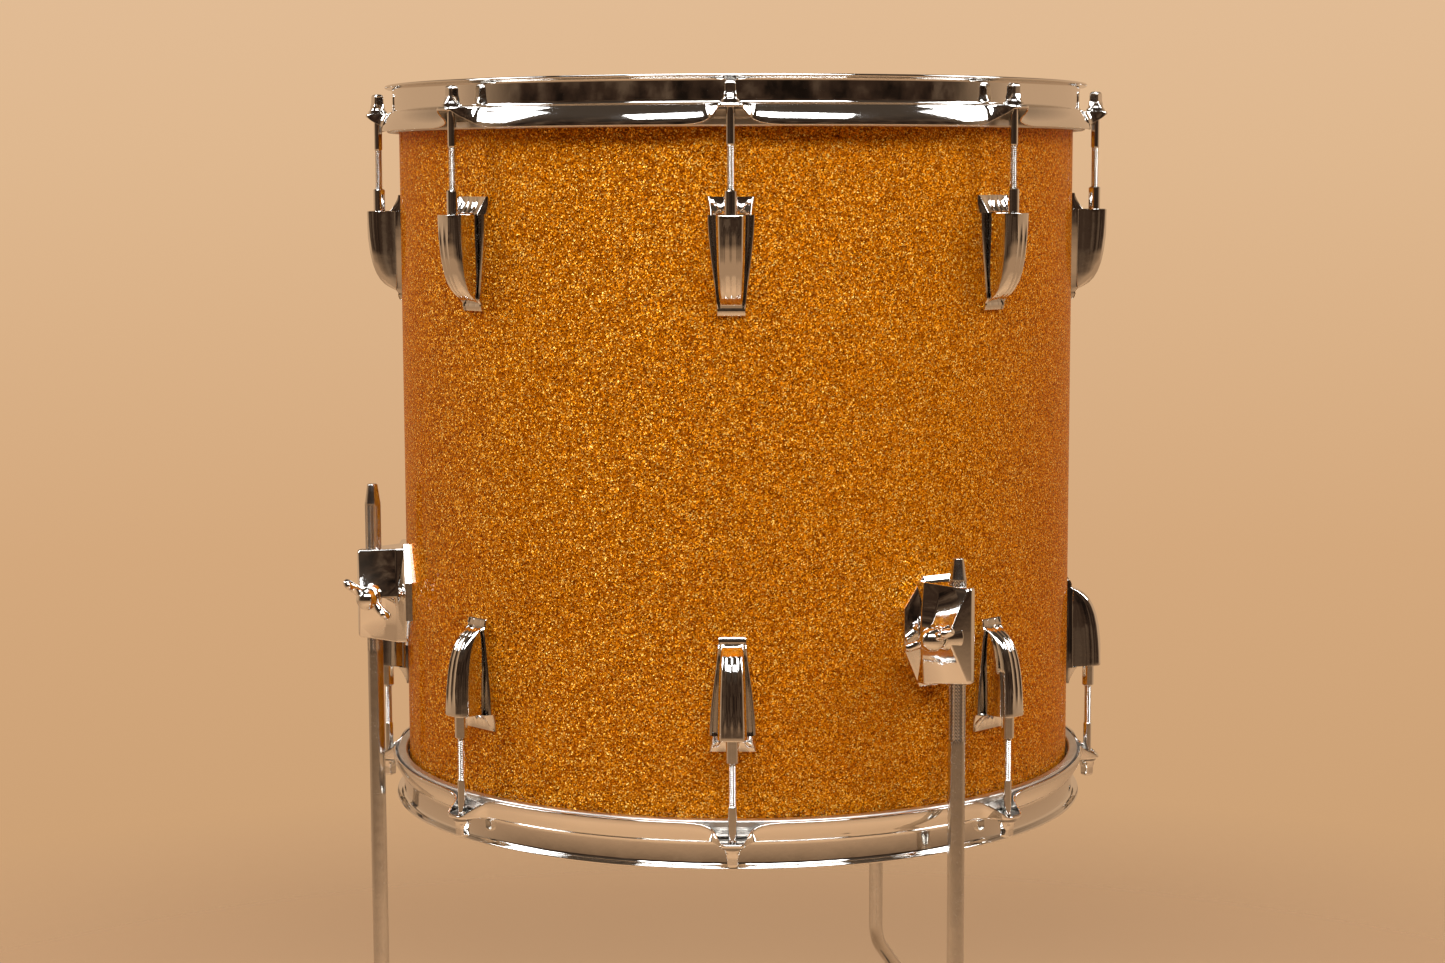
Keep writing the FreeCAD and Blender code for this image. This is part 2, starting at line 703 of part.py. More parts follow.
bracket_master = make_bracket()
wing_master = make_wing_screw()
foot_master = make_foot()
screws = []
wing_axis = Placement(Vector(SIZES["leg_circle"], 0, 0),
                      Rotation(Vector(0, 0, 1), WING_TILT - 90))
foot_place = Placement(Vector(SIZES["leg_circle"] + SIZES["leg_offset"], 0, 0), Rotation())
for name in LEGS:
    keep(clone(bracket_master, f"leg_bracket_{name}", bracket_place(name)))
    spin = Placement(Vector(0, 0, 0), Rotation(Vector(1, 0, 0), WING_TURN[name]))
    keep(clone(wing_master, f"wing_screw_{name}", bracket_place(name) * wing_axis * spin))
    make_leg(name)
    stand = on_shell(LEGS[name], -SIZES["floor_level"]) * foot_place
    keep(clone(foot_master, f"rubber_foot_{name}", stand))
    screws += [make_bracket_screw(name, level) for level in BRACKET_SCREW_LEVELS]
bracket_screws = doc.addObject("Part::Compound", "bracket_screws")
bracket_screws.Links = screws
keep(bracket_screws)
make_vent()

doc.recompute()
for item in doc.Objects:
    if "Invalid" in item.State or "Error" in item.State:
        raise RuntimeError(f"{item.Label} did not build: {item.State}")
for part in PARTS:
    if part.Shape.isNull() or not part.Shape.isValid():
        raise RuntimeError(f"{part.Label} has no valid shape")

os.makedirs("parts", exist_ok=True)
for part in PARTS:
    part.Shape.exportStep(f"parts/{part.Label}.step")
    box = part.Shape.BoundBox
    print(part.Label, len(part.Shape.Solids), round(part.Shape.Volume), [
        round(value, 1) for value in (box.XMin, box.XMax, box.YMin, box.YMax, box.ZMin, box.ZMax)])
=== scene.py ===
import math

import bmesh
import bpy
import numpy as np
from mathutils import Matrix, Vector


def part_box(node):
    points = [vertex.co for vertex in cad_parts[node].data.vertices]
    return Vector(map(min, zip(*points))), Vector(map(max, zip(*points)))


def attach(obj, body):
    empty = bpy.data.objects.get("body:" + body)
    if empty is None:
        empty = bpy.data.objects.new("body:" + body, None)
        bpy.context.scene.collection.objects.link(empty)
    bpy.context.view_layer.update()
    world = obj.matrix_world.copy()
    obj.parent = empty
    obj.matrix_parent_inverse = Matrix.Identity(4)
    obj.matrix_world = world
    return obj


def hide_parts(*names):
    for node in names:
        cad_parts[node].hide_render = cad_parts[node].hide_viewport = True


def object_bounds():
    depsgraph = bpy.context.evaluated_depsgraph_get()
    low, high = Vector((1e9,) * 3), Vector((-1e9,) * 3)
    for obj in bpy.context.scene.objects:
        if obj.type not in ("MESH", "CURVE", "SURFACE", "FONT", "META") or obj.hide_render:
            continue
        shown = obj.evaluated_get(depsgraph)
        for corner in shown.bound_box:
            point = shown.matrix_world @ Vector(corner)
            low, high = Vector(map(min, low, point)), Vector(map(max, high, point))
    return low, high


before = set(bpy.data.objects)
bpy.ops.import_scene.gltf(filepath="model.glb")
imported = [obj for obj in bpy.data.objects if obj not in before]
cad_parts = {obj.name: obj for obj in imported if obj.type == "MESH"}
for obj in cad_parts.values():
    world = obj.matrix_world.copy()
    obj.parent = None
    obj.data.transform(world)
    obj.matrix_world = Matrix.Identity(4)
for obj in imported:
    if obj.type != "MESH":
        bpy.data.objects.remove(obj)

CAD_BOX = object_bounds()

MM = 0.001
MID = (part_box("shell")[0][2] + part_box("shell")[1][2]) / 2
SHELL_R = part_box("wrap")[1][0] / MM
FLOOR_Z = CAD_BOX[0][2]
LUG_STEP = 45.0
ROD_R = 216.8
LEG_R = 222.0
LEGS = {"left": -78.75, "right": 33.5, "rear": 154.75}
LEG_TOPS = {"left": -22.0, "right": -46.0, "rear": -46.0}


# ---------------------------------------------------------------- geometry helpers

def smooth(low, high, value):
    """0 below low, 1 above high, an S between."""
    x = np.clip((np.asarray(value, float) - low) / (high - low), 0, 1)
    return x * x * (3 - 2 * x)


def finish_mesh(name, bm, sharp=38.0):
    """Make an object from a bmesh: welded, outward normals, smooth with sharp edges kept."""
    bmesh.ops.remove_doubles(bm, verts=bm.verts, dist=1e-7)
    bmesh.ops.dissolve_degenerate(bm, edges=bm.edges, dist=1e-8)
    bmesh.ops.recalc_face_normals(bm, faces=bm.faces)
    limit = math.radians(sharp)
    for edge in bm.edges:
        edge.smooth = not (len(edge.link_faces) == 2 and edge.calc_face_angle() > limit)
    for face in bm.faces:
        face.smooth = True
    mesh = bpy.data.meshes.new(name)
    bm.to_mesh(mesh)
    bm.free()
    obj = bpy.data.objects.new(name, mesh)
    bpy.context.collection.objects.link(obj)
    return settle(obj, obj.modifiers.new("flats", "WEIGHTED_NORMAL"), keep_sharp=True)


def settle(obj, modifier, **settings):
    """Apply a modifier with its settings, so that the mesh can be shared."""
    for key, value in settings.items():
        setattr(modifier, key, value)
    bpy.context.view_layer.update()
    graph = bpy.context.evaluated_depsgraph_get()
    mesh = bpy.data.meshes.new_from_object(obj.evaluated_get(graph))
    obj.modifiers.clear()
    obj.data = mesh
    return obj


def add_grid(bm, points, loop_rows=False, loop_columns=False, cap_first=False, cap_last=False):
    """Add quads over a rows x columns x 3 array of points, in millimetres."""
    rows, columns = points.shape[:2]
    verts = [[bm.verts.new(Vector(points[i, j]) * MM) for j in range(columns)]
             for i in range(rows)]
    for i in range(rows if loop_rows else rows - 1):
        for j in range(columns if loop_columns else columns - 1):
            ring = (verts[i][j], verts[i][(j + 1) % columns],
                    verts[(i + 1) % rows][(j + 1) % columns], verts[(i + 1) % rows][j])
            bm.faces.new(ring)
    if cap_first:
        bm.faces.new(verts[0])
    if cap_last:
        bm.faces.new(verts[-1])
    return verts


def turned(bm, profile, count=96):
    """Revolve a closed (r, z) profile about Z; points on the axis close it."""
    angles = np.linspace(0, 2 * math.pi, count, endpoint=False)
    profile = np.asarray(profile, float)
    points = np.empty((count, len(profile), 3))
    points[..., 0] = np.cos(angles)[:, None] * profile[None, :, 0]
    points[..., 1] = np.sin(angles)[:, None] * profile[None, :, 0]
    points[..., 2] = profile[None, :, 1]
    on_axis = profile[0, 0] < 1e-9 and profile[-1, 0] < 1e-9
    add_grid(bm, points, loop_rows=True, loop_columns=not on_axis)


def round_profile(corners, radius=0.4, steps=4):
    """Round a closed profile's corners; a corner may carry its own radius as third value."""
    out = []
    count = len(corners)
    for i, corner in enumerate(corners):
        here = np.array(corner[:2], float)
        before = np.array(corners[i - 1][:2], float) - here
        after = np.array(corners[(i + 1) % count][:2], float) - here
        wanted = corner[2] if len(corner) > 2 else radius
        room = 0.45 * min(np.linalg.norm(before), np.linalg.norm(after))
        cut = min(wanted, room)
        if cut < 1e-6 or here[0] < 1e-9:
            out.append(tuple(here))
            continue
        start = here + before / np.linalg.norm(before) * cut
        end = here + after / np.linalg.norm(after) * cut
        for step in range(steps + 1):
            w = step / steps
            out.append(tuple((1 - w) ** 2 * start + 2 * w * (1 - w) * here + w ** 2 * end))
    return out


def on_shell(angle, level=0.0):
    """Matrix that puts a piece built along +X from the drum's axis at an angle and level."""
    turn = Matrix.Rotation(math.radians(angle - 90), 4, "Z")
    return Matrix.Translation((0, 0, MID + level * MM)) @ turn


UPSIDE_DOWN = Matrix.Rotation(math.pi, 4, "X")


def placed(obj, matrix, name, body, *nodes, slot=None, data=None):
    """Give a piece its place and its body, and hide the CAD nodes that it stands for."""
    piece = obj if obj is not None else bpy.data.objects.new(name, data)
    if obj is None:
        bpy.context.collection.objects.link(piece)
    piece.name = name
    piece.matrix_world = matrix
    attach(piece, body)
    if nodes:
        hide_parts(*nodes)
    return piece


# ---------------------------------------------------------------- material helpers

class Nodes:
    """Short way to write a material's node tree."""

    def __init__(self, name):
        self.material = bpy.data.materials.new(name)
        self.material.use_nodes = True
        self.tree = self.material.node_tree
        self.tree.nodes.clear()
        self.output = self.add("ShaderNodeOutputMaterial")
        self.shader = self.add("ShaderNodeBsdfPrincipled")
        self.link(self.shader.outputs[0], self.output.inputs["Surface"])

    def add(self, kind, **settings):
        node = self.tree.nodes.new(kind)
        for key, value in settings.items():
            setattr(node, key, value)
        return node

    def link(self, a, b):
        self.tree.links.new(a, b)

    def put(self, socket, value):
        """Link an output to a socket, or set the socket's value."""
        if isinstance(value, bpy.types.NodeSocket):
            self.link(value, socket)
        else:
            socket.default_value = value

    def set(self, **inputs):
        for key, value in inputs.items():
            self.put(self.shader.inputs[key.replace("_", " ")], value)

    def place(self, kind="Object"):
        return self.add("ShaderNodeTexCoord").outputs[kind]

    def noise(self, vector, scale, detail=2.0, rough=0.5):
        node = self.add("ShaderNodeTexNoise")
        self.link(vector, node.inputs["Vector"])
        node.inputs["Scale"].default_value = scale
        node.inputs["Detail"].default_value = detail
        node.inputs["Roughness"].default_value = rough
        return node

    def voronoi(self, vector, scale, feature="F1", randomness=1.0):
        node = self.add("ShaderNodeTexVoronoi", feature=feature)
        self.link(vector, node.inputs["Vector"])
        node.inputs["Scale"].default_value = scale
        node.inputs["Randomness"].default_value = randomness
        return node

    def math(self, operation, *values):
        node = self.add("ShaderNodeMath", operation=operation)
        for socket, value in zip(node.inputs, values):
            self.put(socket, value)
        return node.outputs[0]

    def vector(self, operation, *values):
        node = self.add("ShaderNodeVectorMath", operation=operation)
        for socket, value in zip(node.inputs, values):
            self.put(socket, value)
        return [s for s in node.outputs if s.enabled][0]

    def remap(self, value, low, high, to_low, to_high):
        node = self.add("ShaderNodeMapRange")
        for socket, item in zip(node.inputs, (value, low, high, to_low, to_high)):
            self.put(socket, item)
        return node.outputs[0]

    def ramp(self, value, stops, mode="LINEAR"):
        node = self.add("ShaderNodeValToRGB")
        node.color_ramp.interpolation = mode
        while len(node.color_ramp.elements) < len(stops):
            node.color_ramp.elements.new(0.5)
        for element, (at, colour) in zip(node.color_ramp.elements, stops):
            element.position = at
            element.color = (*colour, 1)
        self.put(node.inputs[0], value)
        return node.outputs[0]

    def mix(self, factor, a, b, kind="RGBA", blend="MIX"):
        node = self.add("ShaderNodeMix", data_type=kind)
        if kind == "RGBA":
            node.blend_type = blend
        sockets = [s for s in node.inputs if s.enabled]
        self.put(sockets[0], factor)
        self.put(sockets[1], a)
        self.put(sockets[2], b)
        return [s for s in node.outputs if s.enabled][0]

    def bump(self, height, strength, distance, normal=None):
        node = self.add("ShaderNodeBump")
        node.inputs["Strength"].default_value = strength
        node.inputs["Distance"].default_value = distance
        self.link(height, node.inputs["Height"])
        if normal is not None:
            self.link(normal, node.inputs["Normal"])
        return node.outputs[0]


def paint(obj, material):
    obj.data.materials.clear()
    obj.data.materials.append(material)


def chrome(name, tint=(0.80, 0.79, 0.77), rough=0.045, wave=0.00006):
    """Plated metal: mirror finish with faint casting waves, haze and dust specks."""
    n = Nodes(name)
    at = n.place()
    haze = n.noise(at, 90, 3, 0.6).outputs[0]
    specks = n.noise(at, 1600, 2, 0.7).outputs[0]
    dust = n.remap(specks, 0.66, 0.74, 0.0, 1.0)
    base = n.mix(n.math("MULTIPLY", dust, 0.25), (*tint, 1), (0.62, 0.6, 0.57, 1))
    roughness = n.math("ADD", n.remap(haze, 0.3, 0.7, rough * 0.8, rough * 1.5),
                       n.math("MULTIPLY", dust, 0.12))
    n.set(Base_Color=base, Metallic=1.0, Roughness=roughness)
    n.set(Normal=n.bump(n.noise(at, 160, 2, 0.5).outputs[0], 0.5, wave))
    return n.material


def brushed(name, tint, rough):
    """Bare satin metal with soft blotches and a fine grain."""
    n = Nodes(name)
    at = n.place()
    grain = n.noise(at, 700, 3, 0.6).outputs[0]
    blotch = n.noise(at, 35, 3, 0.6).outputs[0]
    base = n.mix(n.remap(blotch, 0.3, 0.7, 0, 1), (*tint, 1), (*[c * 0.8 for c in tint], 1))
    n.set(Base_Color=base, Metallic=1.0,
          Roughness=n.remap(grain, 0.3, 0.7, rough * 0.85, rough * 1.15),
          Normal=n.bump(grain, 0.08, 0.00004))
    return n.material


def glitter():
    """Gold and orange flakes in a clear gloss laminate."""
    n = Nodes("glitter_wrap")
    at = n.place()
    flakes = n.voronoi(at, 1450)
    fine = n.voronoi(at, 2700)
    chance = n.add("ShaderNodeSeparateColor")
    n.link(flakes.outputs["Color"], chance.inputs[0])
    chance2 = n.add("ShaderNodeSeparateColor")
    n.link(fine.outputs["Color"], chance2.inputs[0])
    pick = n.math("ADD", n.math("MULTIPLY", chance.outputs[0], 0.62),
                  n.math("MULTIPLY", chance2.outputs[0], 0.38))
    colour = n.ramp(pick, [
        (0.12, (0.13, 0.030, 0.0006)), (0.34, (0.36, 0.090, 0.0015)),
        (0.5, (0.50, 0.140, 0.002)), (0.66, (0.68, 0.22, 0.004)), (0.80, (0.95, 0.44, 0.02)),
        (0.90, (1.0, 0.78, 0.25))])
    tilt = n.vector("SUBTRACT", flakes.outputs["Color"], (0.5, 0.5, 0.5))
    scaled = n.add("ShaderNodeVectorMath", operation="SCALE")
    n.link(tilt, scaled.inputs[0])
    scaled.inputs["Scale"].default_value = 0.9
    normal = n.vector("NORMALIZE", n.vector(
        "ADD", n.add("ShaderNodeNewGeometry").outputs["Normal"], scaled.outputs[0]))
    n.set(Base_Color=colour, Metallic=n.remap(chance.outputs[1], 0, 1, 0.35, 0.9),
          Roughness=n.remap(chance.outputs[2], 0, 1, 0.25, 0.6), Normal=normal)
    n.set(Specular_Tint=(1.0, 0.42, 0.05, 1), Specular_IOR_Level=0.0)
    n.set(Coat_Weight=0.17, Coat_Roughness=0.035, Coat_IOR=1.5)
    soft = n.noise(at, 40, 2, 0.5).outputs[0]
    n.set(Coat_Normal=n.bump(soft, 0.25, 0.0004))
    return n.material


# ---------------------------------------------------------------- hoops

EAR_HALF = 6.1
HEM = 186.8
SHOULDER = 198.2
RIM_TOP = 213.7


def hoop_loop(away):
    """Closed (r, z) section of the hoop at an arc distance from the nearest rod."""
    away = abs(away)
    ear = 1 / (1 + (away / 9.0) ** 6)
    past = math.log1p(math.exp((away - EAR_HALF) * 2.5)) / 2.5
    drop = 9.3 * (1 - math.exp(-past / 5.5)) / (1 - math.exp(-3.9))
    bottom = max(HEM, 196.1 - drop)
    flare = 3.8 * (1 - ear)
    knee = 208.6 + 15.0 * ear
    fall = np.linspace(0, 1, 9)
    bulge = 1 - (1 - fall) ** 1.7
    foot = knee + flare * (197.0 - bottom) / (197.0 - HEM)
    inside = max(196.0, bottom + 0.3)
    loop = [(209.5, 212.1), (207.7, 212.1), (206.6, 211.8), (206.0, 211.1), (205.8, 210.2),
            (205.8, 205.0), (205.8, 200.7), (205.95, 199.5), (206.3, 198.75), (206.75, 198.35),
            (207.2, SHOULDER), (knee - 1.2, SHOULDER), (knee - 0.65, 198.05),
            (knee - 0.2, 197.6), (knee, 197.0)]
    loop += [(knee + (foot - knee) * out, 196.9 + (bottom + 0.55 - 196.9) * w)
             for w, out in zip(fall[1:], bulge[1:])]
    loop += [(foot - 0.12, bottom + 0.2), (foot - 0.45, bottom), (foot - 1.15, bottom),
             (foot - 1.5, bottom + 0.15)]
    loop += [(knee - 1.6 + (foot - knee) * out, inside + (bottom + 0.4 - inside) * w)
             for w, out in zip(fall[::-1], bulge[::-1])]
    loop += [(knee - 1.75, 196.4), (knee - 2.2, 196.6), (206.2, 196.6), (205.7, 196.65),
             (205.1, 196.9), (204.4, 197.6), (204.2, 198.6), (204.2, 204.5), (204.2, 210.6),
             (204.45, 211.9), (205.15, 213.0), (206.2, 213.55), (207.4, RIM_TOP),
             (209.0, RIM_TOP), (209.75, 213.5), (210.1, 213.0), (209.95, 212.4)]
    return loop


def hoop_mesh():
    bm = bmesh.new()
    half = math.radians(LUG_STEP / 2) * ROD_R
    fine = np.concatenate([np.linspace(0, 14, 36), np.linspace(15, 36, 22),
                           np.linspace(40, half - 2.5, 10)])
    aways = np.concatenate([-fine[:0:-1], fine])
    angles = []
    loops = []
    for k in range(8):
        for away in aways:
            angles.append(math.radians(LUG_STEP * k) + away / ROD_R)
            loops.append(hoop_loop(away))
    loops = np.array(loops)
    angles = np.array(angles)
    points = np.empty((len(angles), loops.shape[1], 3))
    points[..., 0] = np.cos(angles)[:, None] * loops[..., 0]
    points[..., 1] = np.sin(angles)[:, None] * loops[..., 0]
    points[..., 2] = loops[..., 1]
    add_grid(bm, points, loop_rows=True, loop_columns=True)
    return finish_mesh("hoop", bm, 50)


HOOP_CHROME = chrome("hoop_chrome", rough=0.05)
hoop = hoop_mesh()
paint(hoop, HOOP_CHROME)
placed(hoop, on_shell(90), "batter_hoop_pressed", "batter_rim", "batter_hoop",
       slot="hoop_chrome")
placed(None, on_shell(90) @ UPSIDE_DOWN, "resonant_hoop_pressed", "resonant_rim",
       "resonant_hoop", slot="hoop_chrome", data=hoop.data)


FLESH_METAL = brushed("flesh_aluminium", (0.72, 0.69, 0.65), 0.36)
bm = bmesh.new()
turned(bm, round_profile([
    (203.6, 187.0), (204.4, 186.2), (208.4, 186.2), (209.2, 187.0), (209.2, 190.4),
    (208.4, 190.9), (208.0, 194.8), (206.6, 196.2), (203.6, 196.2)], 0.5, 3), 256)
flesh_hoop = finish_mesh("flesh_hoop", bm, 50)
paint(flesh_hoop, FLESH_METAL)
placed(flesh_hoop, on_shell(90), "batter_flesh_ring", "batter_rim", "batter_flesh_hoop",
       slot="flesh_hoop")
placed(None, on_shell(90) @ UPSIDE_DOWN, "resonant_flesh_ring", "resonant_rim",
       "resonant_flesh_hoop", slot="flesh_hoop", data=flesh_hoop.data)


# ---------------------------------------------------------------- wrap

def wrap_mesh():
    """The wrap, with the raised edge where its two ends overlap."""
    bm = bmesh.new()
    seam = math.radians(-33.4)
    count = 900
    angles = np.linspace(0, 2 * math.pi, count, endpoint=False)
    edge = 198.2
    away = (angles - (seam - math.pi / 2) + math.pi) % (2 * math.pi) - math.pi
    lift = np.where((away > 0), 0.35 * (1 - smooth(9, 16, away * SHELL_R)), 0.0)
    outer = [(SHELL_R - 0.2, -edge), (SHELL_R, -edge + 0.3), (SHELL_R, 0),
             (SHELL_R, edge - 0.3), (SHELL_R - 0.2, edge)]
    section = outer + [(SHELL_R - 0.5, edge), (SHELL_R - 0.5, -edge)]
    points = np.empty((count, len(section), 3))
    for j, (radius, level) in enumerate(section):
        out = radius + (lift if j < len(outer) else 0)
        points[:, j, 0] = np.cos(angles) * out
        points[:, j, 1] = np.sin(angles) * out
        points[:, j, 2] = level
    add_grid(bm, points, loop_rows=True, loop_columns=True)
    return finish_mesh("glitter_wrap", bm, 60)


WRAP = glitter()
wrap = wrap_mesh()
paint(wrap, WRAP)
placed(wrap, on_shell(90), "glitter_wrap", "drum_shell", "wrap", slot="glitter_wrap")


# ---------------------------------------------------------------- lugs

LUG_FOOT = 86.1
LUG_MOUTH = 139.9
LUG_TOP = 149.5
BOAT_FOOT = 90.6


def curve(z, table):
    """Value at z on a smooth line through (z, value) points given from low to high."""
    levels, values = zip(*table)
    return float(np.interp(z, levels, values))


def lug_half_width(z):
    return curve(z, [(LUG_FOOT, 7.4), (94, 8.15), (100, 8.8), (108, 9.8), (115, 10.7),
                     (123, 11.6), (130, 12.25), (136, 12.6), (142, 12.75), (LUG_TOP, 12.75)])


def boat_reach(z):
    return curve(z, [(BOAT_FOOT, 204.3), (91.5, 206.6), (93.2, 209.9), (95.5, 213.4),
                     (98.5, 216.2), (102.5, 218.6), (108, 220.6), (115, 222.1), (123, 223.1),
                     (131, 223.7), (LUG_MOUTH, 224.0)])


def lug_section(z, boat, rim, cove):
    """Half a section across the lug, from its middle to its edge: (sideways, radius) points."""
    plate = lug_half_width(z)
    half = curve(z, [(BOAT_FOOT, 6.0), (100, 6.9), (115, 7.7), (LUG_MOUTH, 8.35)])
    low = 203.5 + 0.9 * float(smooth(97, 89, z))
    top = low + (boat_reach(z) - low) * boat
    flute = 0.5 * boat * float(smooth(136, 124, z)) * float(smooth(90, 96, z))
    strip = 0.5 * half
    across = [0, 0.09, 0.2, 0.45, 0.7, 0.8, 0.9, 1.0]
    crown = [flute, flute * 0.6, 0, 0, 0, flute * 0.4, flute, flute * 0.8]
    points = [(t * strip, top + c - 0.006 * (t * strip) ** 2) for t, c in zip(across, crown)]
    depth = top - low
    flank = [(0.55, 0.01), (0.68, 0.03), (0.79, 0.075), (0.87, 0.14), (0.93, 0.24),
             (0.965, 0.36), (0.985, 0.5), (1.0, 0.7), (1.0, 0.97)]
    points += [(half * wide, top - depth * fall) for wide, fall in flank]
    groove = max(half + 0.8, plate - 2.1)
    crest = low + 2.6 * rim
    points += [(half + 0.4, low), (groove - 0.2, low), (groove, low + 0.15),
               (groove + 0.25, crest - 0.35), (groove + 0.6, crest)]
    outer = plate
    points += [(outer - 0.8, crest), (outer - 0.35, crest - 0.35), (outer - 0.08, crest - 1.0),
               (outer, 202.5), (outer, 201.95)]
    if cove is None:
        return points
    ridge = 10.4 + (12.2 - 10.4) * (1 - cove) ** 2.2
    height = 203.3 + 4.9 * cove ** 2.6
    brow = 203.3 + 5.1 * cove ** 1.3
    rib = [(0, 0.7), (0.8, 0.62), (1.6, 0.4), (2.3, 0.0), (2.8, 0.1), (3.2, 0.8), (3.6, 1.0),
           (4.0, 0.85), (4.4, 0.2), (4.8, 0)]
    points = [(t, height + h * cove ** 1.5) for t, h in rib]
    points += [(t, height + (brow - height) * float(smooth(5.6, ridge, t)) ** 1.5)
               for t in (5.6, 6.4, 7.2, 7.9, 8.5, 8.9, 9.2)]
    points += [(ridge - 0.6, brow - 0.1), (ridge - 0.35, brow + 0.1), (ridge - 0.15, brow + 0.2),
               (ridge + 0.05, brow + 0.2), (ridge + 0.3, brow)]
    points += [(outer - 0.35, 202.9 + (brow - 203) * 0.35), (outer - 0.15, 202.8),
               (outer - 0.05, 202.6), (outer, 202.3), (outer, 201.95)]
    return points


def lug_mesh():
    rows = []
    for z in (LUG_FOOT, LUG_FOOT + 0.25, LUG_FOOT + 1.0, 88.2, 88.9, 89.5, 90.1):
        lift = curve(z, [(LUG_FOOT, -1.6), (LUG_FOOT + 0.25, -0.9), (LUG_FOOT + 1, -0.35),
                         (88.2, 0.0), (88.9, 0.25), (89.5, 0.2), (90.1, 0.1)])
        rows.append((z, [(t, max(201.95, r + lift) if r > 202 else r)
                         for t, r in lug_section(z, 0.0, 0.25, None)]))
    for z in np.concatenate([np.linspace(BOAT_FOOT, 97, 10), np.linspace(98.5, LUG_MOUTH - 0.8,
                                                                        24)]):
        boat = min(1.0, 0.55 + 0.45 * float(smooth(BOAT_FOOT, 92.5, z)))
        rows.append((z, lug_section(z, boat, float(smooth(89, 93, z)), None)))
    last = lug_section(LUG_MOUTH - 0.25, 1.0, 1.0, None)
    rows.append((LUG_MOUTH - 0.25, [(t, r - 0.25) if r > 209 else (t, r) for t, r in last]))
    last = lug_section(LUG_MOUTH, 1.0, 1.0, None)
    rows.append((LUG_MOUTH, [(t * 0.93, r - 0.8) if r > 209 else (t, r) for t, r in last]))
    for w in (1.0, 0.93, 0.84, 0.72, 0.6, 0.48, 0.36, 0.24, 0.12, 0.0):
        z = LUG_MOUTH + 0.02 + (LUG_TOP - LUG_MOUTH - 0.02) * (1 - w)
        rows.append((z, lug_section(z, 0.0, 0.0, w)))
    top = rows[-1][1]
    rows.append((LUG_TOP, [(t, min(r, 201.95)) for t, r in top]))
    bm = bmesh.new()
    grid = []
    for z, half in rows:
        full = [(-t, r) for t, r in half[:0:-1]] + list(half)
        line = []
        for t, r in full:
            line.append((r if r > 202 else math.sqrt(202.05 ** 2 - t * t), t, z))
        grid.append(line)
    grid = np.array(grid)
    add_grid(bm, grid)
    back = grid.copy()
    back[..., 0] = np.sqrt(202.05 ** 2 - back[..., 1] ** 2)
    front = np.concatenate([grid[0], grid[1:, -1], grid[-1, -2::-1], grid[-2:0:-1, 0]])
    rear = np.concatenate([back[0], back[1:, -1], back[-1, -2::-1], back[-2:0:-1, 0]])
    add_grid(bm, np.stack([front, rear]), loop_columns=True)
    add_grid(bm, back[:, ::-1])
    return finish_mesh("lug", bm, 42)


LUG_CHROME = chrome("lug_chrome", rough=0.05)
lug = lug_mesh()
paint(lug, LUG_CHROME)
for k in range(8):
    angle = LUG_STEP * k
    if k == 0:
        placed(lug, on_shell(angle), "batter_lug_cast_1", "drum_shell", "batter_lug_1",
               slot="lug_chrome")
    else:
        placed(None, on_shell(angle), f"batter_lug_cast_{k + 1}", "drum_shell",
               f"batter_lug_{k + 1}", slot="lug_chrome", data=lug.data)
    placed(None, on_shell(angle) @ UPSIDE_DOWN, f"resonant_lug_cast_{k + 1}", "drum_shell",
           f"resonant_lug_{k + 1}", slot="lug_chrome", data=lug.data)


# ---------------------------------------------------------------- tension rods

THREAD_PITCH = 25.4 / 24
SEAT = 199.7


def rounded_square(half, corner, count=48):
    """Points round a square with rounded corners; a corner as large as half makes a circle."""
    points = []
    for i in range(count):
        angle = 2 * math.pi * (i + 0.5) / count
        c, s = math.cos(angle), math.sin(angle)
        power = 2 + 10 * (1 - corner) ** 2
        scale = half / (abs(c) ** power + abs(s) ** power) ** (1 / power)
        points.append((c * scale, s * scale))
    return np.array(points)


def rod_mesh():
    """Square-headed rod: flared collar, plain shank and a rolled thread with a real helix."""
    bm = bmesh.new()
    rings = [(SEAT, 2.5, 1), (SEAT, 4.6, 1), (SEAT + 0.1, 4.85, 1), (SEAT + 0.55, 4.9, 1),
             (SEAT + 0.8, 4.75, 1), (SEAT + 1.1, 4.45, 1), (SEAT + 1.6, 4.2, 0.85),
             (SEAT + 2.3, 3.85, 0.6), (SEAT + 3.2, 3.5, 0.42), (SEAT + 4.2, 3.2, 0.32),
             (SEAT + 5.2, 3.02, 0.28), (207.9, 2.95, 0.28), (208.7, 2.85, 0.3),
             (209.3, 2.55, 0.38), (209.75, 2.0, 0.5), (209.95, 1.3, 0.7), (210, 0.6, 1)]
    points = []
    for z, half, corner in rings:
        flat = rounded_square(half, corner)
        points.append([(x, y, z) for x, y in flat])
    add_grid(bm, np.array(points), loop_columns=True, cap_last=True)
    count = 20
    shank = [(SEAT + 0.3, 2.45), (177.2, 2.45), (176.8, 2.4), (176.4, 2.1)]
    pitch_steps = 7
    levels = np.arange(176.3, 150.5, -THREAD_PITCH / pitch_steps)
    angles = np.linspace(0, 2 * math.pi, count, endpoint=False)
    grid = []
    for z, radius in shank:
        grid.append([(radius * math.cos(a), radius * math.sin(a), z) for a in angles])
    for z in levels:
        turns = z / THREAD_PITCH - angles / (2 * math.pi)
        saw = np.abs((turns % 1.0) - 0.5) * 2
        depth = 0.46 * np.clip(saw * 1.25 - 0.1, 0, 1)
        radius = 2.25 - depth
        grid.append([(r * math.cos(a), r * math.sin(a), z) for r, a in zip(radius, angles)])
    grid.append([(2.0 * math.cos(a), 2.0 * math.sin(a), 150.2) for a in angles])
    grid.append([(2.0 * math.cos(a), 2.0 * math.sin(a), 112.0) for a in angles])
    add_grid(bm, np.array(grid), loop_columns=True, cap_first=True, cap_last=True)
    return finish_mesh("tension_rod", bm, 40)


